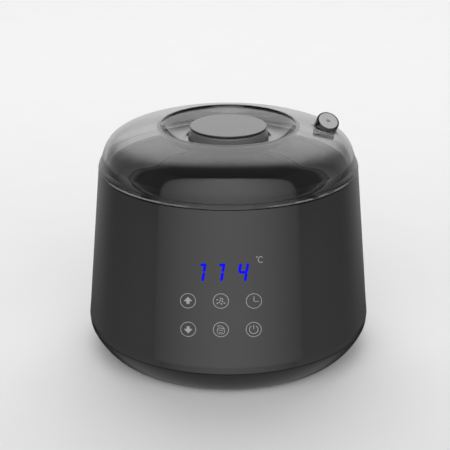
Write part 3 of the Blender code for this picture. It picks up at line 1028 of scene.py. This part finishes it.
icons = {
    "icon_up": (0, 0, lambda s, c: arrow(s, c, 1.0)),
    "icon_beans": (1, 0, beans),
    "icon_clock": (2, 0, clock),
    "icon_down": (0, 1, lambda s, c: arrow(s, c, -1.0)),
    "icon_jar": (1, 1, jar),
    "icon_power": (2, 1, power),
}
for name, (column, row, draw) in icons.items():
    centre = (columns[column], rows[row])
    shape = bmesh.new()
    add_stroke(shape, arc(RING, 0, 360, 96)[:-1], LINE, centre, closed=True)
    draw(shape, centre)
    install(piece(name, shape, print_grey_with_painted_glow), "base", "component_black")

# %% Degree sign and C
unit_mark = bmesh.new()
unit_centre = (17.8, 84.9)
add_stroke(unit_mark, arc(1.4, 42, 318, 30, (0.0, 0.0), 1.2), 0.36, unit_centre)
add_stroke(unit_mark, arc(0.34, 0, 360, 16, (-2.15, 1.5))[:-1], 0.22, unit_centre, closed=True)
install(piece("unit_mark", unit_mark, print_grey_with_painted_glow), "base", "component_black")

# %% [markdown]
# ## Parts that stay as they are in the CAD
# The small hard parts keep their CAD shape. A bevel modifier rounds their
# edges slightly, which the CAD leaves sharp.

# %% Edge rounding on CAD parts
softened = {
    "ac_inlet": 0.25,
    "transformer": 0.4,
    "relay": 0.3,
    "mains_terminal": 0.2,
    "heater_terminal": 0.2,
}
for name, width in softened.items():
    edge = nodes[name].modifiers.new("edge rounding", "BEVEL")
    edge.width = width * MM
    edge.segments = 2
    edge.limit_method = "ANGLE"
    edge.angle_limit = math.radians(50)
print("softened", sorted(softened))

# %% [markdown]
# ## Studio
# The stage is a plain pale floor. What the glossy parts reflect is the room,
# which is painted into the world by direction. A tall soft panel stands in
# front, and its outline shows on the body and again, squeezed, low on the
# lid. A pale wall and a softbox behind light up the top of the lid. The
# ceiling and the sides stay dark, which keeps the plastic black.


# %% World helpers
def ease(value, low, high):
    """0 below low, 1 above high, and smooth between them."""
    return value.finish.node(
        "ShaderNodeMapRange",
        {"interpolation_type": "SMOOTHSTEP"},
        {"Value": value, "From Min": low, "From Max": high, "To Min": 0.0, "To Max": 1.0},
    )


def blend(first, second, share):
    return first + (second - first) * share


sky = Finish("studio room", world=True)
ray = sky.node("ShaderNodeTexCoord", output="Generated")
split = sky.tree.nodes.new("ShaderNodeSeparateXYZ")
sky.tree.links.new(ray.socket, split.inputs[0])
ray_x, ray_y, ray_z = (Value(sky, socket) for socket in split.outputs)

# %% Room
DEGREE = math.radians(1.0)
CEILING = 0.19
UNDER = 0.5
turned = ray_x.maths("ARCTAN2", abs(ray_x), ray_y * -1.0)
side_wall = blend(0.67, 0.27, ease(turned, 60 * DEGREE, 125 * DEGREE))
side_wall = blend(side_wall, 0.26, ease(ray_z, -0.2, 0.05))
back_wall = 1.05 * ease(ray_z, -0.5, 0.05)
softbox = 0.9 * ease(ray_z, 0.15, 0.4) * ease(turned, 135 * DEGREE, 175 * DEGREE)
room = blend(side_wall, back_wall + softbox, ease(turned, 110 * DEGREE, 160 * DEGREE))
room = blend(room, CEILING, ease(ray_z, 0.7, 0.88))
room = blend(UNDER, room, ease(ray_z, -0.8, -0.62))

# %% Front panel
ahead = (ray_y * -1.0).at_least(0.001)
across = ray_x / ahead / 1.82
upward = (ray_z / ahead).at_least(0.0) / 3.1
reach = across * across + upward * upward
panel_shape = (1.0 - ease(reach, 0.95, 1.0)) * ease(ray_z, -0.8, -0.62) * ease(ray_y * -1.0, 0.0, 0.01)
panel_level = 1.88 * (ahead / (ray_x * ray_x + ray_y * ray_y + 0.0001) ** 0.5) ** 1.2
panel_level = panel_level * blend(0.76, 1.0, ease(ray_z, -0.55, -0.22))
level = blend(room, panel_level, panel_shape)
grey = sky.node("ShaderNodeCombineColor", inputs={"Red": level, "Green": level, "Blue": level})
sky.surface(sky.node("ShaderNodeBackground", inputs={"Color": grey, "Strength": 1.0}))
bpy.context.scene.world = sky.data
print("room painted")

# %% Floor
floor_finish = make_finish(
    "studio floor",
    (0.77, 0.77, 0.77),
    0.7,
    drift=0.006,
    grain=0.0,
    **{
        "Specular IOR Level": 0.0,
        "Emission Color": (1.0, 1.0, 1.0, 1.0),
        "Emission Strength": 0.05,
    },
)
floor_shape = bmesh.new()
bmesh.ops.create_grid(floor_shape, x_segments=8, y_segments=8, size=6000.0)
floor = piece("studio_floor", floor_shape, floor_finish)
floor.visible_glossy = False

# %% Overhead light
lamp_data = bpy.data.lights.new("overhead soft light", "AREA")
lamp_data.shape = "RECTANGLE"
lamp_data.size = 1.6
lamp_data.size_y = 1.2
lamp_data.energy = 10.0
lamp = bpy.data.objects.new("overhead_soft_light", lamp_data)
lamp.location = (0.0, 0.8, 1.45)
lamp.rotation_mode = "QUATERNION"
lamp.rotation_quaternion = Vector(lamp.location).to_track_quat("Z", "Y")
lamp.visible_glossy = False
lamp.visible_camera = False
lamp.visible_transmission = False
bpy.context.scene.collection.objects.link(lamp)

# %% [markdown]
# ## Camera
# A long lens looks down on the warmer by about 21 degrees, which keeps its
# sides nearly parallel. The axis of the warmer sits a touch right of centre.

# %% Camera
scene = bpy.context.scene
scene.view_settings.view_transform = "Standard"
CAMERA_DISTANCE = 846.7 * MM
CAMERA_TILT = math.radians(21.25)
AIM = Vector((0.0, 0.0, 74.4 * MM))
camera_data = bpy.data.cameras.new("camera")
camera_data.sensor_width = 36.0
camera_data.lens = 112.0
camera_data.shift_x = -3.4 / 450.0
camera = bpy.data.objects.new("camera", camera_data)
away = Vector((0.0, -math.cos(CAMERA_TILT), math.sin(CAMERA_TILT)))
camera.location = AIM + away * CAMERA_DISTANCE
camera.rotation_mode = "QUATERNION"
camera.rotation_quaternion = away.to_track_quat("Z", "Y")
scene.collection.objects.link(camera)
scene.camera = camera
